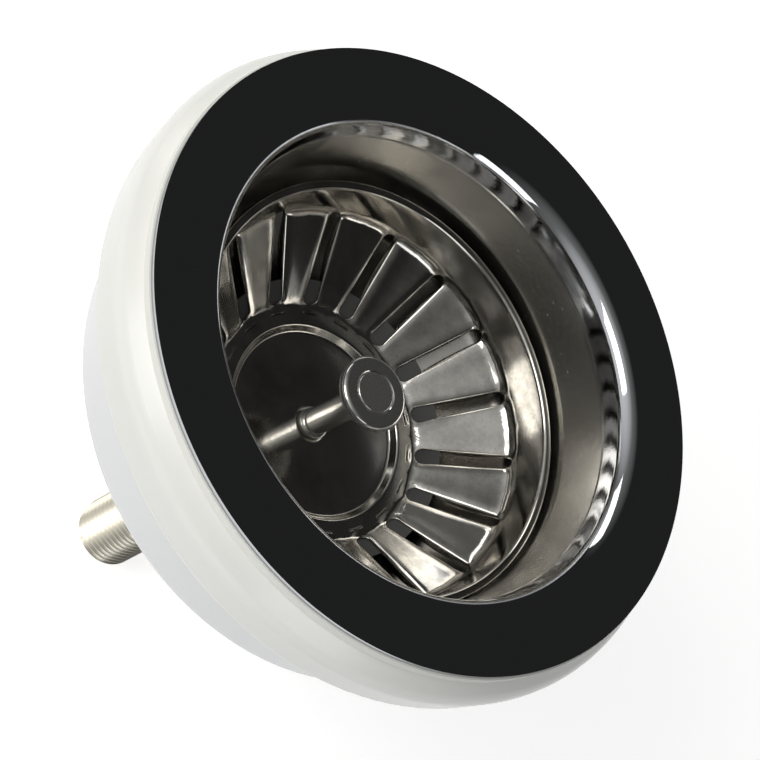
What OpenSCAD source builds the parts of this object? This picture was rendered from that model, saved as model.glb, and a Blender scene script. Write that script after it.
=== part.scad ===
// Shampoo bowl drain strainer: a pressed flange and cup with a white clamp ring and shell, a
// threaded outlet tail, and a slotted lift-out basket that a press-and-hold catch carries.
// The axis is Z and the tail points down. Depths are measured from the flange's outer edge.
// Z = 0 is where the tail's thread ends and its chamfer begins.

/* [Flange and cup] */
// Outer diameter of the flange
flange_d = 114; // [110:1:120]
// Rise of the flange from its edge to the roll
flange_rise = 0.5; // [0.2:0.1:1]
// Thickness of the cup's sheet
cup_t = 1; // [0.8:0.1:1.2]
// Radius of the roll between the flange and the wall
roll_r = 3.5; // [2.5:0.5:4]
// Inside diameter of the cup under its tapered wall
cup_d = 81.8; // [81:0.2:84]
// Slope of the wall above the shoulder, in degrees from upright
wall_taper = 10.7; // [6:0.1:12]
// Depth of the shoulder where the taper ends
shoulder_depth = 14.8; // [13:0.2:16]
// Slope of the cone, in degrees from level
cone_slope = 37; // [36:0.1:39]
// Inside diameter of the well
well_d = 35; // [34:0.5:37]

/* [Basket] */
// Outer diameter of the basket's rolled rim
rim_d = 79; // [76:0.2:79.2]
// Depth of the rim's top below the flange's edge
rim_depth = 16.2; // [15:0.2:17]
// Thickness of the basket's sheet
basket_t = 0.6; // [0.5:0.1:0.7]
// Width of the rim's roll
rim_w = 1.8; // [1.8:0.1:2.2]
// Depth of the rim's turned-down hem
hem_h = 2; // [1.6:0.1:2.6]
// Height of the basket's wall from its rim to its slope
basket_wall_h = 8; // [7:0.5:9]
// Height from the disc's land to the rim
basket_h = 19.8; // [19:0.2:20.4]
// Diameter of the flat disc
disc_d = 44.4; // [43:0.2:45]
// Diameter of the sunk field in the disc
field_d = 35; // [33:0.5:36]
// Depth of the sunk field
field_depth = 1.5; // [1:0.1:1.6]
// Number of slots
slot_count = 18; // [14:1:18]
// Width of a slot at its inner end
slot_in_w = 3; // [2.4:0.1:3.2]
// Width of a slot at its outer end
slot_out_w = 2.5; // [2:0.1:2.8]
// Width of a slot between its ends, as a share of the round ends
slot_waist = 0.86; // [0.8:0.02:0.92]
// Depth of the lip turned down along a slot
lip_h = 1; // [0.6:0.1:1.1]
// Lean of the loose basket toward +X, in degrees
lean_x = 1.66; // [0:0.02:1.7]
// Lean of the loose basket toward -Y, in degrees
lean_y = 0.46; // [0:0.02:0.5]

/* [Spindle and knob] */
// Diameter of the spindle
spindle_d = 5; // [4:0.1:5.4]
// Diameter of the knob
knob_d = 14; // [12:0.5:16]
// Thickness of the knob
knob_t = 2.4; // [2:0.1:3]
// Height of the knob's face above the sunk field
knob_h = 19.4; // [17:0.2:20]
// Diameter of the riveted head in the knob's face
rivet_d = 7.7; // [6.5:0.1:9]
// Depth of the riveted head
rivet_t = 0.9; // [0.7:0.1:1.2]
// Diameter of the collar at the spindle's foot
collar_d = 6.2; // [6:0.1:8]
// Thickness of that collar
collar_t = 0.7; // [0.5:0.1:1]

/* [Stopper and catch] */
// Diameter of the stopper's lip
stopper_d = 53.2; // [52:0.2:53.6]
// Thickness of the stopper at its middle
stopper_t = 3; // [2.8:0.1:3.2]
// Thickness of the stopper's lip
stopper_lip = 2; // [1.8:0.1:2.1]
// Diameter of the washer under the stopper
backing_d = 26; // [22:0.5:27]
// Thickness of that washer
backing_t = 0.8; // [0.6:0.1:1]
// Width across the flats of the spindle's nut
spindle_nut_af = 8; // [7.5:0.1:9]
// Height of the spindle's nut
spindle_nut_h = 2.5; // [2:0.1:2.8]
// Diameter of the catch plug
plug_d = 7.2; // [6.6:0.1:7.6]
// Length of the catch plug below the spindle's nut
plug_l = 11; // [10:0.5:11.5]
// Clearance round the plug, which lets the basket lean
plug_gap = 0.3; // [0.28:0.01:0.35]
// Depth of the groove in the plug
plug_groove = 0.4; // [0.3:0.05:0.45]
// How far the basket presses down to close
press_travel = 5; // [4:0.5:5]
// Height of the hub of the catch spider
hub_h = 3.5; // [3:0.1:3.8]
// Diameter of that hub
hub_d = 12.5; // [12:0.5:14]
// Width of an arm of the spider
arm_w = 3; // [2.5:0.1:4]
// Width of the spider's ring
ring_w = 2.6; // [2:0.1:3]
// Height of the way for the water under the hub
under_hub = 2.2; // [1.8:0.1:2.6]
// Diameter of the snap ring's wire
snap_wire = 0.9; // [0.8:0.1:1]

/* [Outlet tail] */
// Diameter of the tail over its thread
tail_d = 13.8; // [13:0.1:14.6]
// Bore of the tail
bore_d = 10; // [9:0.1:10.4]
// Depth of the tail's end below the flange's edge
tail_depth = 110.5; // [100:0.5:120]
// Chamfer at the tail's end
tail_chamfer = 1.2; // [0.8:0.1:1.6]
// Depth of the relief groove under the lock nut
relief_depth = 0.5; // [0.4:0.1:0.7]
// Width of that groove
relief_w = 1.5; // [1.2:0.1:2]
// Thickness of the tail's head
head_t = 2.5; // [2:0.1:3]
// Thickness of the seal under the head
head_seal_t = 1.5; // [1.2:0.1:1.8]

/* [Ring, shell and nut] */
// Diameter of the clamp ring
clamp_d = 120.4; // [118:0.2:122]
// Depth of the clamp ring's widest line
clamp_crest = 6.5; // [6:0.5:8]
// Depth of the clamp ring's lower face
clamp_depth = 16; // [15:0.5:17]
// Slope of the clamp ring's side, in degrees from upright
clamp_slope = 9; // [6:0.5:12]
// Clearance between the cup and the clamp ring
clamp_gap = 1.2; // [0.8:0.1:2]
// Thickness of the gasket under the flange
gasket_t = 1.6; // [1.2:0.1:2]
// How far the gasket stands out past the flange
gasket_lip = 0.3; // [0:0.1:1]
// Diameter of the shell at its rim
shell_d = 108; // [106:0.5:110]
// Diameter of the shell at its widest lower corner
shell_low_d = 98.4; // [97:0.2:100]
// Depth of that corner
shell_corner = 36; // [35:0.5:38]
// Diameter of the shell's foot
shell_foot_d = 44; // [43:0.5:46]
// Thickness of the shell
shell_t = 3; // [2.6:0.1:3.4]
// Thickness of the rubber washer under the shell
foot_seal_t = 3; // [2:0.1:4]
// Diameter of the washers under the shell
foot_washer_d = 30; // [28:0.5:34]
// Thickness of the steel washer
foot_washer_t = 1.5; // [1:0.1:2]
// Width across the flats of the lock nut
lock_nut_af = 22; // [20:0.5:24]
// Height of the lock nut
lock_nut_h = 8; // [6:0.5:10]

/* [Hidden] */
$fn = 96;

fit_gap = 0.05;
loose_gap = 0.3;

flange_r = flange_d / 2;
cup_r = cup_d / 2;
wall_top_r = cup_r + (shoulder_depth + flange_rise) * tan(wall_taper);
well_r = well_d / 2;
well_bend = 2;

rim_r = rim_d / 2;
basket_r = rim_r - rim_w;
shoulder_in = 0.5;
slope_top_r = basket_r - shoulder_in - 0.6;
slope_top = -rim_depth - basket_wall_h - 1.3;
disc_r = disc_d / 2;
land_z = -rim_depth - basket_h;
field_r = field_d / 2;
field_z = land_z - field_depth;
slope_foot_r = disc_r + 0.7;
slope_foot = land_z + 0.8;
basket_slope = atan2(slope_top - slope_foot, slope_top_r - slope_foot_r);

spindle_r = spindle_d / 2;
disc_under = field_z - basket_t;
stopper_r = stopper_d / 2;
// Height of the underside of the basket's slope at the stopper's lip
slope_under = slope_foot + (stopper_r - slope_foot_r) * tan(basket_slope)
    - basket_t / cos(basket_slope);
stopper_under = disc_under - stopper_t;
backing_under = stopper_under - backing_t;
nut_under = backing_under - spindle_nut_h;
knob_z = field_z + knob_h;
seal_t = 1.4;
socket_h = 3;

hub_top = nut_under - press_travel - 0.4;
hub_under = hub_top - hub_h;
head_top = hub_under - under_hub;
// The well's floor carries the head's seal, the tail's head and the catch
well_depth = head_seal_t + head_t - head_top;
head_r = well_r - 1;
spider_r = well_r - fit_gap;
plug_r = plug_d / 2;
catch_z = hub_top - hub_h / 2;
lean_z = catch_z - 1.5;

// The stopper's low side comes to the cone when the basket is pressed down
lean = norm([lean_x, lean_y]);
lip_under = slope_under - stopper_lip;
lean_reach = stopper_r + (lip_under - lean_z) * tan(cone_slope);
seat_depth = press_travel - lip_under + lean_reach * sin(lean) + loose_gap;
cone_top_depth = seat_depth - (cup_r - stopper_r) * tan(cone_slope);
cone_bottom_depth = cone_top_depth + (cup_r - well_r) * tan(cone_slope);

tail_r = tail_d / 2;
bore_r = bore_d / 2;
foot_z = -well_depth - cup_t - 0.5 - shell_t;
foot_seal_z = foot_z - foot_seal_t;
foot_washer_z = foot_seal_z - foot_washer_t;
relief_z = foot_washer_z - lock_nut_h;
clamp_r = clamp_d / 2;
clamp_bore_r = wall_top_r + cup_t + clamp_gap;
clamp_top = -cup_t - gasket_t;
datum = tail_depth - tail_chamfer;

// Unit vector along v
function unit(v) = v / norm(v);
// Left-hand normal of the run from a to b
function left(a, b) = let (d = unit(b - a)) [-d.y, d.x];
// The run of points p moved by t to its left
function beside(p, t) = [
    for (i = [0:len(p) - 1])
        i == 0 ? p[0] + t * left(p[0], p[1])
            : i == len(p) - 1 ? p[i] + t * left(p[i - 1], p[i])
            : let (m = left(p[i - 1], p[i]), n = left(p[i], p[i + 1]))
                p[i] + t * (m + n) / (1 + m * n)
];
// The radii r of run p on the side that lies t to its left
function radii_beside(p, r, t) = [
    for (i = [0:len(p) - 1])
        i == 0 || i == len(p) - 1 || r[i] <= 0 ? 0
            : max(0.15, r[i] - t * sign(cross(p[i] - p[i - 1], p[i + 1] - p[i])))
];
// The closed run round a sheet of thickness t on the left of run p
function sheet(p, t) = let (q = beside(p, t)) concat(p, [for (i = [len(q) - 1:-1:0]) q[i]]);
// The bend radii of that closed run, from those of run p
function sheet_bends(p, r, t) =
    let (q = radii_beside(p, r, t)) concat(r, [for (i = [len(q) - 1:-1:0]) q[i]]);
// Twice the area inside a closed run, positive when it runs to the left
function area(p, i = 0) = i >= len(p) ? 0 : cross(p[i], p[(i + 1) % len(p)]) + area(p, i + 1);

// The corners before, at and after corner i of the closed run p
function corner(p, i) = let (k = len(p)) [p[(i + k - 1) % k], p[i], p[(i + 1) % k]];
// Which way corner c turns
function turn_of(c) = sign(cross(c[1] - c[0], c[2] - c[1]));
// Half the angle inside corner c
function half_angle(c) = acos(max(-1, min(1, unit(c[0] - c[1]) * unit(c[2] - c[1])))) / 2;
// Unit vector from corner c into its angle
function inward(c) = unit(unit(c[0] - c[1]) + unit(c[2] - c[1]));
// Where a bend of radius r meets the two sides of corner c
function bend_ends(c, r) = [for (q = [c[0], c[2]]) c[1] + unit(q - c[1]) * r / tan(half_angle(c))];

// The area inside the closed run p, with each corner i rounded to r[i]
module rounded_area(p, r) {
    way = sign(area(p));
    difference() {
        polygon([
            for (i = [0:len(p) - 1])
                let (c = corner(p, i))
                each (r[i] > 0 && turn_of(c) * way < 0 ? bend_ends(c, r[i]) : [c[1]])
        ]);
        for (i = [0:len(p) - 1])
            if (r[i] > 0) {
                c = corner(p, i);
                ends = bend_ends(c, r[i]);
                centre = c[1] + inward(c) * r[i] / sin(half_angle(c));
                if (turn_of(c) * way < 0)
                    translate(centre)
                        circle(r = r[i]);
                else
                    difference() {
                        polygon([ends[0], c[1] - inward(c) * 0.2, ends[1]]);
                        translate(centre)
                            circle(r = r[i]);
                    }
            }
    }
}

module turned(outline, bends = []) {
    rotate_extrude()
        if (len(bends) > 0)
            rounded_area(outline, bends);
        else
            polygon(outline);
}

module washer(z, h, outer_r, inner_r) {
    translate([0, 0, z])
        difference() {
            cylinder(h = h, r = outer_r);
            translate([0, 0, -1])
                cylinder(h = h + 2, r = inner_r);
        }
}

module hex_nut(z, h, flats, hole_r) {
    translate([0, 0, z])
        difference() {
            cylinder(h = h, r = flats / 2 / cos(30), $fn = 6);
            translate([0, 0, -1])
                cylinder(h = h + 2, r = hole_r);
        }
}

// Places a piece so that the end of the tail's thread is at Z = 0
module placed() {
    translate([0, 0, datum])
        children();
}

// Places a piece of the basket as it leans in its catch
module leaning() {
    translate([0, 0, datum + lean_z])
        rotate([lean_y, lean_x, 0])
            translate([0, 0, -lean_z])
                children();
}

// The pressed flange, tapered wall, cone and well, seen from the edge inward
cup_run = [
    [flange_r, 0],
    [wall_top_r, flange_rise],
    [cup_r, -shoulder_depth],
    [cup_r, -cone_top_depth],
    [well_r, -cone_bottom_depth],
    [well_r, -well_depth],
    [tail_r + loose_gap, -well_depth]
];
cup_bends = [0, roll_r, 1, 4, 3, well_bend, 0];

module strainer_cup() {
    color([0.72, 0.70, 0.66])
        placed()
            turned(sheet(cup_run, cup_t), sheet_bends(cup_run, cup_bends, cup_t));
}

module rim_gasket() {
    inner_r = wall_top_r + roll_r + 1;
    gasket_r = flange_r + gasket_lip;
    rise = flange_rise / (flange_r - wall_top_r);
    flange_under = -cup_t * norm([1, rise]);
    color([0.93, 0.93, 0.88])
        placed()
            turned([
                [inner_r, flange_under + (flange_r - inner_r) * rise],
                [gasket_r, flange_under + (flange_r - gasket_r) * rise],
                [gasket_r, clamp_top],
                [inner_r, clamp_top]
            ]);
}

module clamp_ring() {
    low_r = clamp_r - (clamp_depth - clamp_crest) * tan(clamp_slope);
    color([0.95, 0.95, 0.91])
        placed()
            turned([
                [clamp_bore_r, clamp_top],
                [flange_r - 0.4, clamp_top],
                [clamp_r, -clamp_crest],
                [low_r, -clamp_depth],
                [clamp_bore_r, -clamp_depth]
            ], [0, 1.5, 4, 2.2, 0]);
}

shell_run = [
    [clamp_bore_r, -clamp_depth],
    [shell_d / 2, -clamp_depth],
    [shell_low_d / 2, -shell_corner],
    [shell_foot_d / 2, -well_depth],
    [shell_foot_d / 2, foot_z],
    [tail_r + loose_gap, foot_z]
];

module clamp_shell() {
    // The run is on the outside, so the wall lies to its right
    inner = beside(shell_run, -shell_t);
    color([0.90, 0.91, 0.92])
        placed()
            turned(
                concat(shell_run, [for (i = [len(inner) - 1:-1:0]) inner[i]]),
                [0, 1.2, 5, 4, 2, 0, 0, 0.5, 1, 2, 1.5, 0]
            );
}

module outlet_tail() {
    color([0.66, 0.62, 0.52])
        placed()
            turned([
                [bore_r, head_top],
                [head_r, head_top],
                [head_r, head_top - head_t],
                [tail_r, head_top - head_t],
                [tail_r, relief_z],
                [tail_r - relief_depth, relief_z],
                [tail_r - relief_depth, relief_z - relief_w],
                [tail_r, relief_z - relief_w],
                [tail_r, -tail_depth + tail_chamfer],
                [tail_r - tail_chamfer, -tail_depth],
                [bore_r, -tail_depth]
            ]);
}

module head_seal() {
    color([0.10, 0.10, 0.10])
        placed()
            washer(-well_depth, head_seal_t, well_r - well_bend, tail_r + loose_gap);
}

module foot_seal() {
    color([0.10, 0.10, 0.10])
        placed()
            washer(foot_seal_z, foot_seal_t, foot_washer_d / 2, tail_r + loose_gap);
}

module foot_washer() {
    color([0.75, 0.75, 0.73])
        placed()
            washer(foot_washer_z, foot_washer_t, foot_washer_d / 2, tail_r + loose_gap);
}

module lock_nut() {
    color([0.68, 0.64, 0.54])
        placed()
            hex_nut(relief_z, lock_nut_h, lock_nut_af, tail_r + fit_gap);
}

module catch_spider() {
    color([0.86, 0.86, 0.82])
        placed()
            difference() {
                union() {
                    washer(head_top, hub_top - head_top, spider_r, spider_r - ring_w);
                    translate([0, 0, hub_under])
                        cylinder(h = hub_h, r = hub_d / 2);
                    for (i = [0:2])
                        rotate(120 * i)
                            translate([hub_d / 4, -arm_w / 2, hub_under])
                                cube([spider_r - ring_w / 2 - hub_d / 4, arm_w, hub_h]);
                }
                translate([0, 0, hub_under - 1])
                    cylinder(h = hub_h + 2, r = plug_r + plug_gap);
                // Groove for the snap ring
                translate([0, 0, catch_z])
                    rotate_extrude()
                        translate([plug_r + plug_gap + snap_wire / 2, 0])
                            square([snap_wire + 0.6, snap_wire + 0.1], center = true);
            }
}

module snap_ring() {
    ring_r = plug_r + plug_gap + snap_wire / 2 + 0.1;
    color([0.60, 0.60, 0.60])
        placed()
            translate([0, 0, catch_z])
                rotate_extrude(angle = 320)
                    translate([ring_r, 0])
                        circle(d = snap_wire);
}

basket_run = [
    [rim_r, -rim_depth - hem_h],
    [rim_r, -rim_depth],
    [basket_r, -rim_depth],
    [basket_r - shoulder_in, -rim_depth - basket_wall_h],
    [slope_top_r, slope_top],
    [slope_foot_r, slope_foot],
    [disc_r, land_z],
    [field_r + field_depth * 0.75, land_z],
    [field_r, field_z],
    [spindle_r + fit_gap, field_z]
];
basket_bends = [0, 0.8, 0.8, 1.2, 1.2, 0.9, 0.7, 0.7, 0.8, 0];

// One slot seen from above, its middle line along +X, a little narrower between its round ends
module slot_cut() {
    in_x = disc_r + 0.2 + slot_in_w / 2;
    out_x = slope_top_r + 0.1 - slot_out_w / 2;
    in_side = slot_in_w / 2 * slot_waist;
    out_side = slot_out_w / 2 * slot_waist;
    translate([0, 0, land_z - basket_t])
        linear_extrude(height = slope_top - land_z + basket_t + 0.4) {
            translate([in_x, 0])
                circle(d = slot_in_w);
            translate([out_x, 0])
                circle(d = slot_out_w);
            polygon([[in_x, in_side], [out_x, out_side], [out_x, -out_side], [in_x, -in_side]]);
        }
}

// The metal turned down along one slot, deepest at the middle, before the slot is cut in it
module slot_lips() {
    in_x = slope_foot_r + 5;
    out_x = slope_top_r - slot_out_w / 2;
    mid_x = (in_x + out_x) / 2;
    rise = tan(basket_slope);
    in_z = slope_foot + (in_x - slope_foot_r) * rise - basket_t / 2;
    rotate([90, 0, 0])
        linear_extrude(height = slot_in_w * slot_waist + 2 * basket_t, center = true)
            polygon([
                [in_x, in_z],
                [out_x, in_z + (out_x - in_x) * rise],
                [mid_x + 1.5, in_z + (mid_x + 1.5 - in_x) * rise - basket_t / 2 - lip_h],
                [mid_x - 1.5, in_z + (mid_x - 1.5 - in_x) * rise - basket_t / 2 - lip_h]
            ]);
}

module basket() {
    color([0.70, 0.69, 0.66])
        leaning()
            difference() {
                union() {
                    turned(sheet(basket_run, basket_t), sheet_bends(basket_run, basket_bends, basket_t));
                    for (i = [0:slot_count - 1])
                        rotate(90 + 360 / slot_count * i)
                            slot_lips();
                }
                for (i = [0:slot_count - 1])
                    rotate(90 + 360 / slot_count * i)
                        slot_cut();
            }
}

module spindle() {
    rivet_r = rivet_d / 2;
    foot = nut_under - plug_l + socket_h;
    color([0.80, 0.78, 0.74])
        leaning()
            turned([
                [0, knob_z],
                [rivet_r, knob_z],
                [rivet_r, knob_z - rivet_t],
                [spindle_r, knob_z - rivet_t],
                [spindle_r, foot],
                [0, foot]
            ]);
}

module spindle_collar() {
    color([0.80, 0.78, 0.74])
        leaning()
            washer(field_z, collar_t, collar_d / 2, spindle_r + fit_gap);
}

module knob() {
    knob_r = knob_d / 2;
    rivet_hole = rivet_d / 2 + fit_gap;
    under = knob_z - knob_t;
    color([0.62, 0.62, 0.60])
        leaning()
            turned([
                [rivet_hole, knob_z],
                [knob_r, knob_z],
                [knob_r, under],
                [spindle_r + fit_gap, under],
                [spindle_r + fit_gap, knob_z - rivet_t],
                [rivet_hole, knob_z - rivet_t]
            ], [0, 1, 0.6, 0, 0, 0]);
}

module stopper() {
    under_run = beside(basket_run, basket_t);
    seal_r = spindle_r + 1.6;
    step_gap = 0.35;
    slack = 0.15;
    color([0.07, 0.07, 0.07])
        leaning()
            turned([
                [seal_r, disc_under],
                [under_run[8].x + step_gap, disc_under],
                [under_run[7].x + step_gap, under_run[7].y - slack],
                [under_run[6].x, under_run[6].y - slack],
                [under_run[5].x, under_run[5].y - slack],
                [stopper_r, slope_under - slack],
                [stopper_r, slope_under - stopper_lip],
                [backing_d / 2 + 2, stopper_under],
                [spindle_r + loose_gap, stopper_under],
                [spindle_r + loose_gap, disc_under - seal_t],
                [seal_r, disc_under - seal_t]
            ]);
}

module spindle_seal() {
    color([0.07, 0.07, 0.07])
        leaning()
            washer(disc_under - seal_t, seal_t, spindle_r + 1.55, spindle_r + fit_gap);
}

module backing_washer() {
    color([0.75, 0.75, 0.73])
        leaning()
            washer(backing_under, backing_t, backing_d / 2, spindle_r + loose_gap);
}

module spindle_nut() {
    color([0.75, 0.75, 0.73])
        leaning()
            hex_nut(nut_under, spindle_nut_h, spindle_nut_af, spindle_r + fit_gap);
}

module catch_plug() {
    tip = nut_under - plug_l;
    groove = snap_wire * 0.7;
    color([0.92, 0.92, 0.88])
        leaning()
            difference() {
                turned([
                    [0, nut_under],
                    [plug_r, nut_under],
                    [plug_r, catch_z + groove + plug_groove],
                    [plug_r - plug_groove, catch_z + groove],
                    [plug_r - plug_groove, catch_z - groove],
                    [plug_r, catch_z - groove - plug_groove],
                    [plug_r, tip + 1.4],
                    [plug_r - 1, tip],
                    [0, tip]
                ]);
                translate([0, 0, tip + socket_h])
                    cylinder(h = plug_l, r = spindle_r + fit_gap);
            }
}

strainer_cup();
rim_gasket();
clamp_ring();
clamp_shell();
outlet_tail();
head_seal();
foot_seal();
foot_washer();
lock_nut();
catch_spider();
snap_ring();
basket();
spindle();
spindle_collar();
knob();
stopper();
spindle_seal();
backing_washer();
spindle_nut();
catch_plug();
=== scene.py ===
import math

import bmesh
import bpy
from mathutils import Matrix, Vector


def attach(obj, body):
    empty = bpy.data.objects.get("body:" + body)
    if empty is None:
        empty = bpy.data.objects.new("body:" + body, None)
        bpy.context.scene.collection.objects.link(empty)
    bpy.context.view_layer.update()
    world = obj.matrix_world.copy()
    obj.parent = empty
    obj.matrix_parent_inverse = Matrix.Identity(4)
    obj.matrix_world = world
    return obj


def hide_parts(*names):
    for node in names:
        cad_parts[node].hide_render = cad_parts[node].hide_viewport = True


bl_info = {
    "name": "Shampoo Bowl Drain Strainer",
    "version": (1, 0, 0),
    "blender": (4, 5, 0),
    "location": "View3D > Sidebar > Strainer",
    "description": "Dresses the packed drain strainer in its metal, plastic and rubber",
    "category": "Object",
}

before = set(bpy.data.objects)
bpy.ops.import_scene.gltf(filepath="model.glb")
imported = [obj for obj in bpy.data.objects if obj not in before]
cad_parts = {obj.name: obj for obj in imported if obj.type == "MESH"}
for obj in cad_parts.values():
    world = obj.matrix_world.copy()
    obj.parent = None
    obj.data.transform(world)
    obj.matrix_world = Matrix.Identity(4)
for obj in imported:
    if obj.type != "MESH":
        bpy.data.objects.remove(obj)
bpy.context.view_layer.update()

MM = 0.001
TURN = 2 * math.pi
# Height of the flange's outer edge above the end of the tail's full thread
FLANGE_Z = 109.3


class StrainerSizes(bpy.types.PropertyGroup):
    """Sizes of the pieces that are modelled here, in metres."""

    flange_radius: bpy.props.FloatProperty(
        name="Flange radius", description="Radius of the flange's outer edge",
        default=0.057, min=0.05, max=0.06, unit="LENGTH")
    roll_radius: bpy.props.FloatProperty(
        name="Roll radius", description="Radius of the roll between flange and wall",
        default=0.0035, min=0.002, max=0.004, unit="LENGTH")
    sheet: bpy.props.FloatProperty(
        name="Cup sheet", description="Thickness of the cup's sheet",
        default=0.001, min=0.0006, max=0.0014, unit="LENGTH")
    basket_sheet: bpy.props.FloatProperty(
        name="Basket sheet", description="Thickness of the basket's sheet",
        default=0.0006, min=0.0004, max=0.0008, unit="LENGTH")
    slot_count: bpy.props.IntProperty(
        name="Slots", description="Number of slots round the basket",
        default=18, min=6, max=24)
    slot_inner: bpy.props.FloatProperty(
        name="Slot inner width", description="Width of a slot at its inner end",
        default=0.003, min=0.002, max=0.0036, unit="LENGTH")
    slot_outer: bpy.props.FloatProperty(
        name="Slot outer width", description="Width of a slot at its outer end",
        default=0.0025, min=0.0015, max=0.003, unit="LENGTH")
    lip_depth: bpy.props.FloatProperty(
        name="Slot lip", description="Depth of the lip turned down along a slot",
        default=0.0009, min=0.0, max=0.0012, unit="LENGTH")
    knob_radius: bpy.props.FloatProperty(
        name="Knob radius", description="Radius of the knob",
        default=0.007, min=0.005, max=0.009, unit="LENGTH")
    thread_pitch: bpy.props.FloatProperty(
        name="Thread pitch", description="Pitch of the tail's thread",
        default=0.0015, min=0.001, max=0.002, unit="LENGTH")


class StrainerLooks(bpy.types.PropertyGroup):
    """Colours of the finishes."""

    steel: bpy.props.FloatVectorProperty(
        name="Steel", description="Colour of the pressed steel", subtype="COLOR",
        size=4, default=(0.62, 0.60, 0.56, 1), min=0, max=1)
    plastic: bpy.props.FloatVectorProperty(
        name="Plastic", description="Colour of the white ring and shell", subtype="COLOR",
        size=4, default=(0.80, 0.81, 0.78, 1), min=0, max=1)
    brass: bpy.props.FloatVectorProperty(
        name="Tail", description="Colour of the tail and its nut", subtype="COLOR",
        size=4, default=(0.50, 0.45, 0.35, 1), min=0, max=1)
    rubber: bpy.props.FloatVectorProperty(
        name="Rubber", description="Colour of the stopper and the black seals", subtype="COLOR",
        size=4, default=(0.012, 0.012, 0.012, 1), min=0, max=1)
    floor: bpy.props.FloatVectorProperty(
        name="Floor", description="Colour of the floor", subtype="COLOR",
        size=4, default=(0.85, 0.85, 0.85, 1), min=0, max=1)


# Bent runs

def bent(points, radii, step=6.0):
    """The run of (radius, height) points in millimetres, each inner corner rounded by arcs."""
    out = [Vector(points[0])]
    for before, corner, after, r in zip(points, points[1:], points[2:], radii[1:]):
        corner = Vector(corner)
        u, v = (Vector(before) - corner).normalized(), (Vector(after) - corner).normalized()
        half = math.acos(max(-1, min(1, u.dot(v)))) / 2
        if r <= 0 or half > math.radians(89.9):
            out.append(corner)
            continue
        centre = corner + (u + v).normalized() * r / math.sin(half)
        start = corner + u * r / math.tan(half) - centre
        end = corner + v * r / math.tan(half) - centre
        turn = start.x * end.y - start.y * end.x
        sweep = math.copysign(math.pi - 2 * half, turn)
        n = max(2, math.ceil(abs(math.degrees(sweep)) / step))
        a0 = math.atan2(start.y, start.x)
        for i in range(n + 1):
            a = a0 + sweep * i / n
            out.append(centre + r * Vector((math.cos(a), math.sin(a))))
    out.append(Vector(points[-1]))
    return out


def beside(points, t):
    """The run moved by t to its left."""
    pts = [Vector(p) for p in points]
    out = []
    for i, p in enumerate(pts):
        sides = []
        for a, b in ((i - 1, i), (i, i + 1)):
            if a >= 0 and b < len(pts):
                d = (pts[b] - pts[a]).normalized()
                sides.append(Vector((-d.y, d.x)))
        m = sides[0] if len(sides) == 1 else (sides[0] + sides[1]) / (1 + sides[0].dot(sides[1]))
        out.append(p + t * m)
    return out


def beside_radii(points, radii, t):
    """Bend radii of the run that lies t to the left."""
    out = list(radii)
    for i in range(1, len(points) - 1):
        if radii[i] > 0:
            a, b, c = (Vector(p) for p in points[i - 1:i + 2])
            side = math.copysign(1, (b - a).x * (c - b).y - (b - a).y * (c - b).x)
            out[i] = max(0.1, radii[i] - t * side)
    return out


def finer(run, longest):
    """The run with its long straights cut into shorter ones, so that the spun faces stay even."""
    out = [run[0]]
    for a, b in zip(run, run[1:]):
        n = max(1, math.ceil((b - a).length / longest))
        out += [a.lerp(b, i / n) for i in range(1, n + 1)]
    return out


def closed_sheet(points, radii, t, step=6.0, longest=3.0):
    """The closed outline of a sheet of thickness t on the left of the run."""
    near = finer(bent(points, radii, step), longest)
    far = finer(bent(beside(points, t), beside_radii(points, radii, t), step), longest)
    return near + far[::-1]


# Meshes

def piece_from(bm, name, smooth=40.0, open_sheet=False):
    """Turns the mesh into a piece in metres, with sharp edges only where faces meet steeply."""
    bmesh.ops.remove_doubles(bm, verts=bm.verts, dist=0.002)
    bmesh.ops.dissolve_degenerate(bm, edges=bm.edges, dist=0.0005)
    if not open_sheet:
        bmesh.ops.recalc_face_normals(bm, faces=bm.faces)
    bmesh.ops.scale(bm, vec=(MM, MM, MM), verts=bm.verts)
    mesh = bpy.data.meshes.new(name)
    for face in bm.faces:
        face.smooth = True
    for edge in bm.edges:
        if len(edge.link_faces) == 2:
            edge.smooth = edge.calc_face_angle(0) < math.radians(smooth)
    bm.to_mesh(mesh)
    bm.free()
    piece = bpy.data.objects.new(name, mesh)
    bpy.context.scene.collection.objects.link(piece)
    return piece


def turned(bm, outline, steps=192, closed=True, lift=FLANGE_Z):
    """Spins an outline of (radius, height) points about the axis."""
    verts = [bm.verts.new((p[0], 0, p[1] + lift)) for p in outline]
    pairs = list(zip(verts, verts[1:])) + ([(verts[-1], verts[0])] if closed else [])
    edges = [bm.edges.new(pair) for pair in pairs]
    bmesh.ops.spin(bm, geom=verts + edges, cent=(0, 0, 0), axis=(0, 0, 1), angle=TURN,
                   steps=steps, use_merge=True)
    bmesh.ops.remove_doubles(bm, verts=bm.verts, dist=0.0005)


def turned_piece(name, outline, steps=192, smooth=40.0):
    bm = bmesh.new()
    turned(bm, outline, steps)
    return piece_from(bm, name, smooth=smooth)


def along(run):
    """The run by distance: its full length, and a function that gives the point and its normal."""
    run = [Vector(p) for p in run]
    marks = [0.0]
    for a, b in zip(run, run[1:]):
        marks.append(marks[-1] + (b - a).length)
    sides = []
    for i in range(len(run)):
        d = (run[min(i + 1, len(run) - 1)] - run[max(i - 1, 0)]).normalized()
        sides.append(Vector((-d.y, d.x)))

    def point(s):
        i = min(max(1, sum(1 for m in marks if m < s)), len(run) - 1)
        k = (s - marks[i - 1]) / (marks[i] - marks[i - 1])
        return run[i - 1].lerp(run[i], k), sides[i - 1].lerp(sides[i], k).normalized()

    return marks[-1], point


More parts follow.
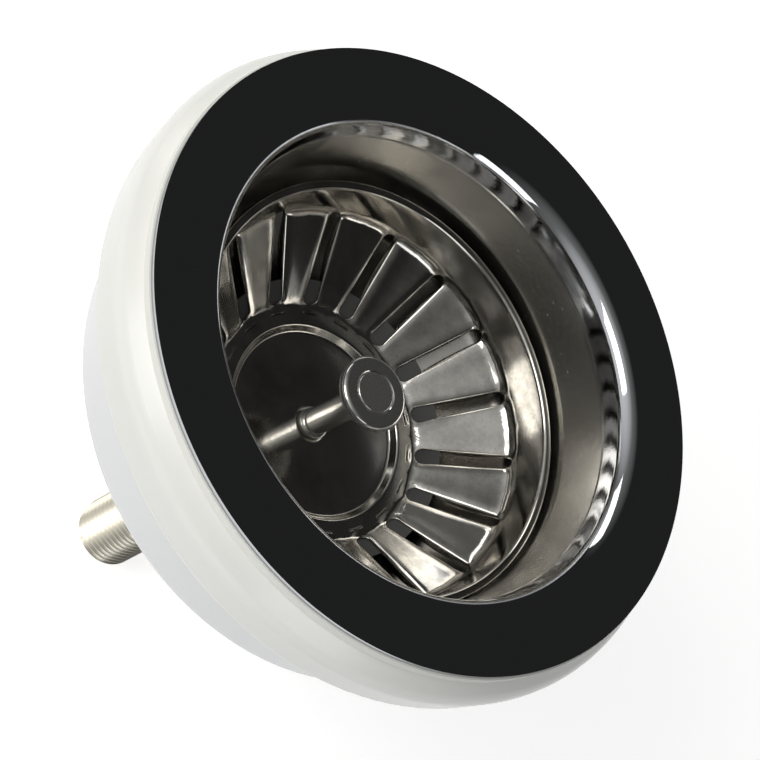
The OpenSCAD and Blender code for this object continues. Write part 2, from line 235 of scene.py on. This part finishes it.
def leaning(piece):
    """Leans a piece of the basket about the catch, as its CAD nodes lean."""
    lean_z = (FLANGE_Z - 53.05) * MM
    lean = (Matrix.Translation((0, 0, lean_z)) @ Matrix.Rotation(math.radians(1.66), 4, "Y")
            @ Matrix.Rotation(math.radians(0.46), 4, "X") @ Matrix.Translation((0, 0, -lean_z)))
    piece.data.transform(lean)
    return piece


# Materials

class Finish:
    """A node material in the making; each call adds one node and gives its output."""

    def __init__(self, name):
        self.mat = bpy.data.materials.new(name)
        self.mat.use_nodes = True
        self.tree = self.mat.node_tree
        self.shader = self.tree.nodes["Principled BSDF"]
        self.place = self.tree.nodes.new("ShaderNodeTexCoord").outputs["Object"]

    def add(self, kind, **values):
        node = self.tree.nodes.new(kind)
        for key, value in values.items():
            setattr(node, key, value)
        return node

    def plug(self, value, socket):
        if isinstance(value, bpy.types.NodeSocket):
            self.tree.links.new(value, socket)
        else:
            socket.default_value = value

    def math(self, operation, a, b=0.0, clamp=False):
        node = self.add("ShaderNodeMath", operation=operation, use_clamp=clamp)
        self.plug(a, node.inputs[0])
        self.plug(b, node.inputs[1])
        return node.outputs[0]

    def parts(self):
        node = self.add("ShaderNodeSeparateXYZ")
        self.plug(self.place, node.inputs[0])
        return node.outputs

    def vector(self, x, y, z):
        node = self.add("ShaderNodeCombineXYZ")
        for value, socket in zip((x, y, z), node.inputs):
            self.plug(value, socket)
        return node.outputs[0]

    def stretched(self, scale):
        node = self.add("ShaderNodeMapping")
        self.plug(self.place, node.inputs["Vector"])
        node.inputs["Scale"].default_value = scale
        return node.outputs[0]

    def round_place(self, around, across, along):
        """Coordinates that run round the axis, away from it and along it."""
        x, y, z = self.parts()
        angle = self.math("ARCTAN2", y, x)
        radius = self.math("SQRT", self.math("ADD", self.math("MULTIPLY", x, x),
                                             self.math("MULTIPLY", y, y)))
        return self.vector(self.math("MULTIPLY", angle, around),
                           self.math("MULTIPLY", radius, across),
                           self.math("MULTIPLY", z, along))

    def noise(self, scale, detail=3.0, rough=0.5, place=None):
        node = self.add("ShaderNodeTexNoise")
        self.plug(place or self.place, node.inputs["Vector"])
        node.inputs["Scale"].default_value = scale
        node.inputs["Detail"].default_value = detail
        node.inputs["Roughness"].default_value = rough
        return node.outputs["Fac"]

    def cells(self, scale, place=None):
        node = self.add("ShaderNodeTexVoronoi")
        self.plug(place or self.place, node.inputs["Vector"])
        node.inputs["Scale"].default_value = scale
        return node.outputs["Distance"]

    def ramp(self, value, *stops):
        node = self.add("ShaderNodeValToRGB")
        self.plug(value, node.inputs[0])
        entries = node.color_ramp.elements
        while len(entries) < len(stops):
            entries.new(0.5)
        for entry, (at, colour) in zip(entries, stops):
            entry.position = at
            if not hasattr(colour, "__len__"):
                colour = (colour, colour, colour, 1)
            entry.color = tuple(colour) if len(colour) == 4 else (*colour, 1)
        return node.outputs[0]

    def span(self, value, from_low, from_high, low, high):
        node = self.add("ShaderNodeMapRange")
        self.plug(value, node.inputs["Value"])
        for key, number in (("From Min", from_low), ("From Max", from_high),
                            ("To Min", low), ("To Max", high)):
            node.inputs[key].default_value = number
        return node.outputs["Result"]

    def mix(self, share, a, b, blend="MIX"):
        node = self.add("ShaderNodeMix", data_type="RGBA", blend_type=blend)
        self.plug(share, node.inputs["Factor"])
        self.plug(a, node.inputs["A"])
        self.plug(b, node.inputs["B"])
        return next(s for s in node.outputs if s.type == "RGBA")

    def bump(self, height, depth, strength=1.0):
        node = self.add("ShaderNodeBump")
        self.plug(height, node.inputs["Height"])
        node.inputs["Distance"].default_value = depth
        node.inputs["Strength"].default_value = strength
        self.plug(node.outputs[0], self.shader.inputs["Normal"])

    def set(self, **values):
        for key, value in values.items():
            self.plug(value, self.shader.inputs[key.replace("_", " ")])
        return self.mat


def dress(obj, material):
    obj.data.materials.clear()
    obj.data.materials.append(material)


def four(colour):
    return tuple(colour) if len(colour) == 4 else (*colour, 1)


def shade(colour, k):
    return (colour[0] * k, colour[1] * k, colour[2] * k, 1)


def cup_finish():
    """Mirror flange that turns into a warm satin wall below its roll; the flange and roll are painted a darker,
    cooler grey than the wall's steel, a painted reflection of the dark room above.
    """
    f = Finish("cup_steel")
    z = f.parts()[2]
    looks = bpy.context.scene.strainer_looks
    depth = f.span(z, (FLANGE_Z - 6.5) * MM, (FLANGE_Z - 4.5) * MM, 0, 1)
    brushed = f.noise(1.0, 4, 0.6, f.round_place(60, 900, 2600))
    stains = f.noise(45, 5, 0.6)
    wall = f.mix(f.ramp(stains, (0.35, 0), (0.7, 0.5)), looks.steel, shade(looks.steel, 0.75))
    # Painted reflection: the flange and roll are the wall's steel, given a darker, cooler grey where they
    # mirror the dark room overhead
    colour = f.mix(depth, wall, (0.50, 0.51, 0.53, 1))
    rough = f.math("ADD", f.span(depth, 0, 1, 0.24, 0.035),
                   f.math("MULTIPLY", f.math("SUBTRACT", brushed, 0.5), f.span(depth, 0, 1, 0.16, 0.015)))
    f.bump(brushed, 0.00002, 0.25)
    return f.set(Base_Color=colour, Metallic=1.0, Roughness=rough)


def basket_finish():
    """Bright pressed steel with cloudy dark stains and fine specks."""
    f = Finish("basket_steel")
    looks = bpy.context.scene.strainer_looks
    clouds = f.noise(160, 6, 0.65)
    specks = f.noise(1500, 3, 0.7)
    stained = f.mix(f.ramp(clouds, (0.36, 0), (0.66, 0.8)), looks.steel, shade(looks.steel, 0.5))
    colour = f.mix(f.ramp(specks, (0.60, 0), (0.72, 0.35)), stained, shade(looks.steel, 0.35))
    rough = f.span(clouds, 0.3, 0.75, 0.07, 0.16)
    f.bump(specks, 0.000015, 0.3)
    return f.set(Base_Color=colour, Metallic=1.0, Roughness=rough)


def bright_finish(name, k, low, high):
    """Turned bright steel with fine rings."""
    f = Finish(name)
    looks = bpy.context.scene.strainer_looks
    rings = f.noise(1.0, 3, 0.6, f.round_place(3, 4200, 4200))
    colour = f.mix(f.ramp(f.noise(300, 5, 0.6), (0.4, 0), (0.75, 0.5)),
                   shade(looks.steel, k), shade(looks.steel, k * 0.7))
    f.bump(rings, 0.00001, 0.25)
    return f.set(Base_Color=colour, Metallic=1.0, Roughness=f.span(rings, 0.3, 0.7, low, high))


def plastic_finish(name, k):
    """Moulded white plastic with a faint mould grain and slight yellowing."""
    f = Finish(name)
    looks = bpy.context.scene.strainer_looks
    cloud = f.noise(22, 4, 0.6)
    grain = f.noise(900, 3, 0.6)
    colour = f.mix(f.ramp(cloud, (0.35, 0), (0.75, 0.6)), shade(looks.plastic, k),
                   (looks.plastic[0] * k * 0.97, looks.plastic[1] * k * 0.97,
                    looks.plastic[2] * k * 0.93, 1))
    f.bump(grain, 0.00002, 0.3)
    return f.set(Base_Color=colour, Roughness=f.span(grain, 0.3, 0.7, 0.36, 0.48))


def rubber_finish(name, colour):
    f = Finish(name)
    dust = f.noise(500, 5, 0.7)
    base = f.mix(f.ramp(dust, (0.5, 0), (0.8, 0.35)), colour, (*(c + 0.03 for c in colour[:3]), 1))
    f.bump(f.noise(1800, 2, 0.5), 0.00003, 0.3)
    return f.set(Base_Color=base, Roughness=f.span(dust, 0.3, 0.7, 0.5, 0.7))


def brass_finish():
    """Dull plated brass, with painted shade darkening the thread's grooves."""
    f = Finish("tail_metal")
    looks = bpy.context.scene.strainer_looks
    x, y, z = f.parts()
    radius = f.math("SQRT", f.math("ADD", f.math("MULTIPLY", x, x), f.math("MULTIPLY", y, y)))
    # Painted shade: the thread's grooves are darkened towards 0.4 of the brass, standing in for shade in the
    # recesses
    groove_shade = f.span(radius, 0.0061, 0.0068, 1, 0)
    worn = f.noise(260, 5, 0.65)
    colour = f.mix(f.math("MULTIPLY", groove_shade, 0.55, clamp=True), looks.brass, shade(looks.brass, 0.4))
    colour = f.mix(f.ramp(worn, (0.45, 0), (0.75, 0.5)), colour, (0.30, 0.24, 0.17, 1))
    f.bump(f.noise(1.0, 3, 0.6, f.round_place(4, 2500, 5000)), 0.00002, 0.25)
    return f.set(Base_Color=colour, Metallic=1.0, Roughness=f.span(worn, 0.3, 0.7, 0.22, 0.36))


def made(name, maker, *values):
    """The finish of that name, made the first time it is asked for."""
    return bpy.data.materials.get(name) or maker(*values)


# Pieces

# The second and third points after the roll make the fine step at the top of the wall
CUP_RUN = [(57, 0), (43.791, 0.5), (42.67, -5.5), (42.53, -5.85), (40.9, -14.8), (40.9, -31.04),
           (17.5, -48.67), (17.5, -59.5), (7.2, -59.5)]
CUP_BENDS = [0, 3.5, 0.3, 0.3, 1, 4, 3, 2, 0]


class STRAINER_OT_make_cup(bpy.types.Operator):
    """Spins the polished flange, roll, wall, cone and well as one sheet"""

    bl_idname = "strainer.make_cup"
    bl_label = "Flange and Cup"

    def execute(self, context):
        outline = closed_sheet(CUP_RUN, CUP_BENDS, 1.0, step=4.0, longest=2.5)
        cup = turned_piece("cup", outline, 256, smooth=50)
        dress(cup, cup_finish())
        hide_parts("strainer_cup")
        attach(cup, "drain")
        return {"FINISHED"}


# From the disc's middle out to the rim's hem
BASKET_RUN = [(2.55, -37.5), (17.5, -37.5), (18.625, -36), (22.2, -36), (22.9, -35.3),
              (36.7, -25.5), (37.2, -24.0), (37.7, -16.2), (39.5, -16.2), (39.5, -18.2)]
BASKET_BENDS = [0, 0.8, 0.7, 0.5, 3, 2.4, 1.2, 0.8, 0.8, 0]
# Steps round one end of a slot, along one side of it, and from its lip's edge outward
END_STEPS, SIDE_STEPS = 16, 32
LIP_RINGS = 3
EDGE_RINGS = (0.06, 0.16, 0.32, 0.6, 1.1)
PANEL_RINGS = 5


def slot_edge(step, first, last, inner_r, outer_r):
    """Place on the slot's outline, as (distance along the run, distance sideways)."""
    k = (step + END_STEPS // 2) % (2 * (END_STEPS + SIDE_STEPS))
    turn = math.pi / END_STEPS
    if k <= END_STEPS:
        a = (k - END_STEPS / 2) * turn
        return last - outer_r + outer_r * math.cos(a), outer_r * math.sin(a)
    k -= END_STEPS
    if k < SIDE_STEPS or k > SIDE_STEPS + END_STEPS:
        side = 1 if k < SIDE_STEPS else -1
        g = k / SIDE_STEPS if side > 0 else 1 - (k - SIDE_STEPS - END_STEPS) / SIDE_STEPS
        half = (outer_r + (inner_r - outer_r) * g) * (1 - 0.12 * math.sin(math.pi * g))
        return (last - outer_r) * (1 - g) + (first + inner_r) * g, side * half
    a = math.pi / 2 + (k - SIDE_STEPS) * turn
    return first + inner_r + inner_r * math.cos(a), inner_r * math.sin(a)


def sector_edge(step, low, high, half_turn):
    """Place on the sector's border at the same step, as (distance along the run, angle)."""
    k = (step + END_STEPS // 2) % (2 * (END_STEPS + SIDE_STEPS))
    if k <= END_STEPS:
        return high, half_turn * (2 * k / END_STEPS - 1)
    k -= END_STEPS
    if k <= SIDE_STEPS:
        return high + (low - high) * k / SIDE_STEPS, half_turn
    k -= SIDE_STEPS
    if k <= END_STEPS:
        return low, half_turn * (1 - 2 * k / END_STEPS)
    return low + (high - low) * (k - END_STEPS) / SIDE_STEPS, -half_turn


def slotted_sector(bm, point, low, high, first, last, sizes):
    """One sector of the slope round its slot, whose edge is turned down into a lip."""
    around = 2 * (END_STEPS + SIDE_STEPS)
    rings = LIP_RINGS + len(EDGE_RINGS) + PANEL_RINGS
    half_turn = math.pi / sizes.slot_count
    inner_r, outer_r = sizes.slot_inner / MM / 2, sizes.slot_outer / MM / 2
    lip, roll = sizes.lip_depth / MM, 0.5
    chain = [bm.verts.new((1 + m, 0, 0)) for m in range(rings + 1)]
    edges = [bm.edges.new(pair) for pair in zip(chain, chain[1:])]
    bmesh.ops.spin(bm, geom=chain + edges, cent=(0, 0, 0), axis=(0, 0, 1), angle=TURN,
                   steps=around, use_merge=True)
    for vert in bm.verts:
        ring = round(vert.co.xy.length - 1)
        step = round(math.atan2(vert.co.y, vert.co.x) / TURN * around)
        s0, y0 = slot_edge(step, first, last, inner_r, outer_r)
        s1, a1 = sector_edge(step, low, high, half_turn)
        a0 = y0 / point(s0)[0].x
        reach = math.hypot(s1 - s0, (a1 - a0) * point((s0 + s1) / 2)[0].x)
        share = (s0 - first) / (last - first)
        drawn = math.sin(math.pi * min(1, max(0, (share - 0.1) / 0.98)))
        away = 0.0
        if ring > LIP_RINGS:
            m = ring - LIP_RINGS
            near = EDGE_RINGS[min(m, len(EDGE_RINGS)) - 1]
            away = near + (reach - near) * max(0, m - len(EDGE_RINGS)) / PANEL_RINGS
        t = away / reach
        place, normal = point(s0 + (s1 - s0) * t)
        angle = a0 + (a1 - a0) * t
        r = roll * (0.35 + 0.65 * drawn)
        drop = r - math.sqrt(r * r - max(0, r - away) ** 2) + 0.22 * math.exp(-(away / 0.9) ** 2)
        if ring < LIP_RINGS:
            down = (LIP_RINGS - ring) / LIP_RINGS
            drop += down * (0.05 + lip * drawn)
            angle -= math.copysign(0.18 * drawn * down ** 2, a0) / place.x * (1 if y0 else 0)
        place = place - normal * drop
        vert.co = (place.x * math.cos(angle), place.x * math.sin(angle), place.y + FLANGE_Z)


class STRAINER_OT_make_basket(bpy.types.Operator):
    """Shapes the pressed basket: slotted slope, stepped disc, wall, rolled rim and hem"""

    bl_idname = "strainer.make_basket"
    bl_label = "Basket"

    def execute(self, context):
        sizes = context.scene.strainer_sizes
        run = bent(BASKET_RUN, BASKET_BENDS, step=6)
        length, point = along(finer(run, 0.4))
        marks = [0.1 * i for i in range(int(length / 0.1))]
        reach = {r: next(s for s in marks if point(s)[0].x > r) for r in (21.0, 22.4, 36.75)}
        low, first, last = reach[21.0], reach[22.4], reach[36.75]
        high = last + 2.4
        bm = bmesh.new()
        slotted_sector(bm, point, low, high, first, last, sizes)
        bmesh.ops.rotate(bm, verts=bm.verts, cent=(0, 0, 0), matrix=Matrix.Rotation(TURN / 4, 3, "Z"))
        count = sizes.slot_count
        bmesh.ops.spin(bm, geom=bm.verts[:] + bm.edges[:] + bm.faces[:], cent=(0, 0, 0),
                       axis=(0, 0, 1), angle=TURN * (count - 1) / count, steps=count - 1,
                       use_duplicate=True)
        steps = END_STEPS * count
        inside = [p for p in finer(run, 1.6) if p.x < point(low)[0].x - 0.05] + [point(low)[0]]
        outside = [p for p in finer(run, 1.6) if p.y > point(high)[0].y + 0.05]
        turned(bm, inside, steps, closed=False)
        turned(bm, [point(high)[0]] + outside + [run[-1]], steps, closed=False)
        bmesh.ops.remove_doubles(bm, verts=bm.verts, dist=0.002)
        bmesh.ops.recalc_face_normals(bm, faces=bm.faces)
        if min(bm.faces, key=lambda face: face.calc_center_median().xy.length).normal.z < 0:
            bmesh.ops.reverse_faces(bm, faces=bm.faces)
        basket = piece_from(bm, "basket_steel", smooth=60, open_sheet=True)
        sheet = basket.modifiers.new("sheet", "SOLIDIFY")
        sheet.thickness, sheet.offset = sizes.basket_sheet * 0.9, -1
        sheet.use_even_offset = True
        basket = applied(basket)
        dress(leaning(basket), basket_finish())
        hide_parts("basket")
        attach(basket, "basket")
        return {"FINISHED"}


def applied(piece):
    """The piece with its modifiers made part of its mesh."""
    shaped = bpy.data.meshes.new_from_object(
        piece.evaluated_get(bpy.context.evaluated_depsgraph_get()))
    piece.modifiers.clear()
    piece.data = shaped
    return piece


KNOB_Z, FIELD_Z = -18.1, -37.5


class STRAINER_OT_make_knob(bpy.types.Operator):
    """Turns the knob, its riveted spindle and the thin collar at the spindle's foot"""

    bl_idname = "strainer.make_knob"
    bl_label = "Knob and Spindle"

    def execute(self, context):
        r = context.scene.strainer_sizes.knob_radius / MM
        knob = bent([(3.92, KNOB_Z - 0.16), (4.1, KNOB_Z - 0.02), (r, KNOB_Z), (r, KNOB_Z - 2.4),
                     (2.55, KNOB_Z - 2.4), (2.55, KNOB_Z - 0.9), (3.92, KNOB_Z - 0.9)],
                    [0, 0.1, 1.1, 1.1, 0, 0, 0], step=9)
        spindle = bent([(0, KNOB_Z + 0.02), (3.3, KNOB_Z), (3.78, KNOB_Z - 0.05),
                        (3.84, KNOB_Z - 0.9), (2.5, KNOB_Z - 0.9), (2.5, -35.9), (2.42, -36.0),
                        (2.42, -36.3), (2.5, -36.4), (2.5, -52.4), (0, -52.4)],
                       [0, 0.3, 0.25, 0, 0, 0, 0, 0, 0, 0, 0], step=15)
        collar = bent([(2.55, FIELD_Z + 0.7), (3.1, FIELD_Z + 0.7), (3.1, FIELD_Z),
                       (2.55, FIELD_Z)], [0, 0.3, 0, 0], step=15)
        for name, outline, node, finish, k, low, high in (
                # Painted reflection: the knob's steel is made 0.8 as bright, darkened because its face mirrors
                # the dark room overhead
                ("knob_head", knob, "knob", "knob_steel", 0.8, 0.05, 0.12),
                ("spindle_rod", spindle, "spindle", "spindle_steel", 1.15, 0.08, 0.2),
                ("foot_collar", collar, "spindle_collar", "spindle_steel", 1.15, 0.08, 0.2)):
            piece = leaning(turned_piece(name, outline, 128, smooth=30))
            dress(piece, made(finish, bright_finish, finish, k, low, high))
            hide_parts(node)
            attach(piece, "basket")
        return {"FINISHED"}


class STRAINER_OT_make_shell(bpy.types.Operator):
    """Dresses the white clamp ring, the shell behind it and the gasket"""

    bl_idname = "strainer.make_shell"
    bl_label = "Ring, Shell and Gasket"

    def execute(self, context):
        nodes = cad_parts
        dress(nodes["clamp_ring"], made("ring_plastic", plastic_finish, "ring_plastic", 1.0))
        # Painted shade: the shell is the ring's white plastic made 0.95 as bright, for the lower tier that sits
        # under the ring
        dress(nodes["clamp_shell"], made("shell_plastic", plastic_finish, "shell_plastic", 0.95))
        dress(nodes["rim_gasket"], made("gasket_rubber", rubber_finish, "gasket_rubber", (0.78, 0.78, 0.72, 1)))
        return {"FINISHED"}


HEAD_TOP, HEAD_R, TAIL_R, BORE_R = -55.5, 16.5, 6.9, 5.0
RELIEF_Z, RELIEF_W, TAIL_END, TAIL_CHAMFER = -76.5, 1.5, -110.5, 1.2
THREAD_DEPTH, THREAD_STEPS = 0.85, 72


def threaded_tube(pitch):
    """The tube's threaded length, open down its bore."""
    bm = bmesh.new()
    top, bottom = RELIEF_Z - RELIEF_W + FLANGE_Z, TAIL_END + FLANGE_Z
    root = TAIL_R - THREAD_DEPTH
    profile = [(root, 0.0), (root + 0.06, 0.1), (TAIL_R - 0.08, 0.62), (TAIL_R, 0.68),
               (TAIL_R, 0.82), (TAIL_R - 0.08, 0.88), (root + 0.06, 1.4), (root, 1.5)]
    turns = math.ceil((top - bottom) / pitch) + 2
    chain = [bm.verts.new((r, 0, bottom - pitch * (1.5 - z / 1.5))) for r, z in profile]
    edges = [bm.edges.new(pair) for pair in zip(chain, chain[1:])]
    bmesh.ops.spin(bm, geom=chain + edges, cent=(0, 0, 0), axis=(0, 0, 1), angle=TURN * turns,
                   steps=THREAD_STEPS * turns, dvec=(0, 0, pitch / THREAD_STEPS))
    bmesh.ops.remove_doubles(bm, verts=bm.verts, dist=0.01)
    for vert in bm.verts:
        limit = min(TAIL_R, TAIL_R - TAIL_CHAMFER + max(0, vert.co.z - bottom),
                    TAIL_R - THREAD_DEPTH + max(0, top - vert.co.z) * 1.5)
        r = vert.co.xy.length
        if r > limit:
            vert.co.xy *= limit / r
    for height, side in ((bottom, -1), (top, 1)):
        bmesh.ops.bisect_plane(bm, geom=bm.verts[:] + bm.edges[:] + bm.faces[:], dist=0.0005,
                               plane_co=(0, 0, height), plane_no=(0, 0, side), clear_outer=True)
    loops = []
    for height in (bottom, top):
        loop = [e for e in bm.edges if e.is_boundary
                and all(abs(v.co.z - height) < 0.01 for v in e.verts)]
        grown = bmesh.ops.extrude_edge_only(bm, edges=loop)["geom"]
        for vert in (v for v in grown if isinstance(v, bmesh.types.BMVert)):
            vert.co.xy *= BORE_R / vert.co.xy.length
        loops += [e for e in grown if isinstance(e, bmesh.types.BMEdge)]
    bmesh.ops.bridge_loops(bm, edges=loops)
    return bm


def hexagon_nut(bm, z, height, flats, bore, steps=144):
    """A nut whose corners are turned off by a cone at both faces."""
    face_r, mid = flats / 2 * 0.97, z + height / 2
    outline = [(bore, z), (face_r, z), (flats / 2, z + 0.2), (flats / 2, z + height - 0.2),
               (face_r, z + height), (bore, z + height)]
    before = set(bm.verts)
    turned(bm, outline, steps)
    for vert in set(bm.verts) - before:
        if vert.co.xy.length < face_r + 0.01:
            continue
        angle = math.atan2(vert.co.y, vert.co.x) % (TURN / 6) - TURN / 12
        r = flats / 2 / math.cos(angle)
        level = vert.co.z - FLANGE_Z - mid
        fall = height / 2 - (r - face_r) * math.tan(math.radians(30))
        vert.co.xy *= r / vert.co.xy.length
        vert.co.z = FLANGE_Z + mid + math.copysign(fall, level)


class STRAINER_OT_make_tail(bpy.types.Operator):
    """Cuts the tail's thread and turns its nut"""

    bl_idname = "strainer.make_tail"
    bl_label = "Tail and Nut"

    def execute(self, context):
        bm = threaded_tube(context.scene.strainer_sizes.thread_pitch / MM)
        upper = bent([(BORE_R, HEAD_TOP), (HEAD_R, HEAD_TOP), (HEAD_R, HEAD_TOP - 2.5),
                      (TAIL_R, HEAD_TOP - 2.5), (TAIL_R, RELIEF_Z), (TAIL_R - 0.5, RELIEF_Z),
                      (TAIL_R - 0.5, RELIEF_Z - RELIEF_W), (BORE_R, RELIEF_Z - RELIEF_W)],
                     [0, 0.4, 0.4, 0, 0, 0, 0, 0])
        turned(bm, upper, 96)
        tail = piece_from(bm, "tail_tube", smooth=50)
        bm = bmesh.new()
        hexagon_nut(bm, RELIEF_Z, 8, 22, TAIL_R + 0.05)
        nut = piece_from(bm, "tail_nut", smooth=25)
        for piece, node in ((tail, "outlet_tail"), (nut, "lock_nut")):
            dress(piece, made("tail_metal", brass_finish))
            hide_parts(node)
            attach(piece, "drain")
        return {"FINISHED"}


class STRAINER_OT_dress_inner(bpy.types.Operator):
    """Finishes the seals, washers and catch that stay as they are"""

    bl_idname = "strainer.dress_inner"
    bl_label = "Seals, Washers and Catch"

    def execute(self, context):
        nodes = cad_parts
        rubber = context.scene.strainer_looks.rubber
        for node in ("stopper", "spindle_seal", "head_seal", "foot_seal"):
            dress(nodes[node], made("black_rubber", rubber_finish, "black_rubber", rubber))
        for node in ("foot_washer", "backing_washer", "spindle_nut", "snap_ring"):
            dress(nodes[node], made("washer_steel", bright_finish, "washer_steel", 1.0, 0.2, 0.35))
        for node in ("catch_spider", "catch_plug"):
            dress(nodes[node], made("catch_plastic", plastic_finish, "catch_plastic", 0.9))
        return {"FINISHED"}


class STRAINER_OT_set_stage(bpy.types.Operator):
    """Sets the floor, the lamps, the world and the camera"""

    bl_idname = "strainer.set_stage"
    bl_label = "Floor, Lamps and Camera"

    def execute(self, context):
        scene = context.scene
        scene.view_settings.view_transform = "Standard"
        bm = bmesh.new()
        bmesh.ops.create_grid(bm, x_segments=1, y_segments=1, size=6)
        bmesh.ops.translate(bm, verts=bm.verts, vec=(0, 0, -0.0016))
        mesh = bpy.data.meshes.new("floor")
        bm.to_mesh(mesh)
        bm.free()
        floor = bpy.data.objects.new("floor", mesh)
        scene.collection.objects.link(floor)
        dress(floor, floor_finish())
        scene.world = studio_world()
        for name, at, size, power, colour in LAMPS:
            lamp(name, at, LAMP_AIM, size, power, colour)
        camera = bpy.data.objects.new("camera", bpy.data.cameras.new("camera"))
        scene.collection.objects.link(camera)
        camera.data.lens, camera.data.sensor_width = 118.42, 36
        camera.data.clip_start, camera.data.clip_end = 0.01, 50
        right, down = Vector((0.4805, 0.6429, 0.5965)), Vector((0.877, -0.3522, -0.3268))
        forward = Vector((0, 0.6802, -0.7331))
        turn = Matrix((right, -down, -forward)).transposed().to_4x4()
        camera.matrix_world = Matrix.Translation((-0.00052, -0.29954, 0.30676 + FLANGE_Z * MM)) @ turn
        scene.camera = camera
        return {"FINISHED"}


# Name, place, size, power and colour of each soft lamp
LAMPS = (("key", (-0.75, -0.95, 0.95), 0.8, 7, (1.0, 0.99, 0.96)),
         ("side", (1.0, -0.8, 0.55), 0.7, 3.5, (0.95, 0.97, 1.0)),
         ("back_left", (-1.2, 0.35, 0.5), 0.6, 3, (1.0, 1.0, 0.97)))
LAMP_AIM = (0, 0, 0.06)
# Towards the lit wall of the room, which is dark overhead and beyond the object
LIT_SIDE = (-0.55, -0.75, 0.36)


def studio_world():
    """A room that is lit from the viewer's left and dark overhead and beyond the object."""
    world = bpy.data.worlds.new("studio")
    world.use_nodes = True
    tree = world.node_tree
    place = tree.nodes.new("ShaderNodeTexCoord").outputs["Generated"]
    facing = tree.nodes.new("ShaderNodeVectorMath")
    facing.operation = "DOT_PRODUCT"
    tree.links.new(place, facing.inputs[0])
    facing.inputs[1].default_value = Vector(LIT_SIDE).normalized()
    light = tree.nodes.new("ShaderNodeValToRGB")
    for entry, (at, k) in zip((light.color_ramp.elements[0], light.color_ramp.elements[1],
                               light.color_ramp.elements.new(0.6)),
                              ((0.12, 0.025), (0.95, 0.62), (0.6, 0.22))):
        entry.position, entry.color = at, (k, k, k * 0.97, 1)
    tree.links.new(facing.outputs["Value"], light.inputs[0])
    tree.links.new(light.outputs[0], tree.nodes["Background"].inputs["Color"])
    return world


def floor_finish():
    """Pale floor that the camera and the metal see as white where no shadow falls."""
    f = Finish("floor")
    looks = bpy.context.scene.strainer_looks
    path = f.add("ShaderNodeLightPath").outputs
    seen = f.math("ADD", path["Is Camera Ray"],
                  f.math("ADD", path["Is Glossy Ray"], path["Is Transmission Ray"]), clamp=True)
    pale = f.mix(f.noise(3, 2), looks.floor, shade(looks.floor, 0.98))
    return f.set(Base_Color=pale, Roughness=0.9, Emission_Color=(1, 1, 1, 1),
                 Emission_Strength=f.math("MULTIPLY", seen, 0.66))


def lamp(name, at, aim, size, power, colour=(1, 1, 1)):
    data = bpy.data.lights.new(name, "AREA")
    data.size, data.energy, data.color = size, power, colour
    obj = bpy.data.objects.new(name, data)
    bpy.context.scene.collection.objects.link(obj)
    obj.location = at
    obj.rotation_mode = "QUATERNION"
    obj.rotation_quaternion = (Vector(aim) - Vector(at)).to_track_quat("-Z", "Y")
    return obj


class STRAINER_PT_panel(bpy.types.Panel):
    """Lists the pieces of the strainer"""

    bl_label = "Drain Strainer"
    bl_idname = "STRAINER_PT_panel"
    bl_space_type = "VIEW_3D"
    bl_region_type = "UI"
    bl_category = "Strainer"

    def draw(self, context):
        for operator in OPERATORS:
            self.layout.operator(operator.bl_idname)
        for group in (context.scene.strainer_sizes, context.scene.strainer_looks):
            for name in group.bl_rna.properties.keys():
                if name not in ("rna_type", "name"):
                    self.layout.prop(group, name)


OPERATORS = (STRAINER_OT_make_cup, STRAINER_OT_make_basket, STRAINER_OT_make_knob,
             STRAINER_OT_make_shell, STRAINER_OT_make_tail, STRAINER_OT_dress_inner,
             STRAINER_OT_set_stage)
CLASSES = (StrainerSizes, StrainerLooks, *OPERATORS, STRAINER_PT_panel)


def register():
    for cls in CLASSES:
        bpy.utils.register_class(cls)
    bpy.types.Scene.strainer_sizes = bpy.props.PointerProperty(type=StrainerSizes)
    bpy.types.Scene.strainer_looks = bpy.props.PointerProperty(type=StrainerLooks)


def unregister():
    del bpy.types.Scene.strainer_looks
    del bpy.types.Scene.strainer_sizes
    for cls in reversed(CLASSES):
        bpy.utils.unregister_class(cls)


def main():
    register()
    for operator in OPERATORS:
        group, name = operator.bl_idname.split(".")
        getattr(getattr(bpy.ops, group), name)()


if __name__ == "__main__":
    main()
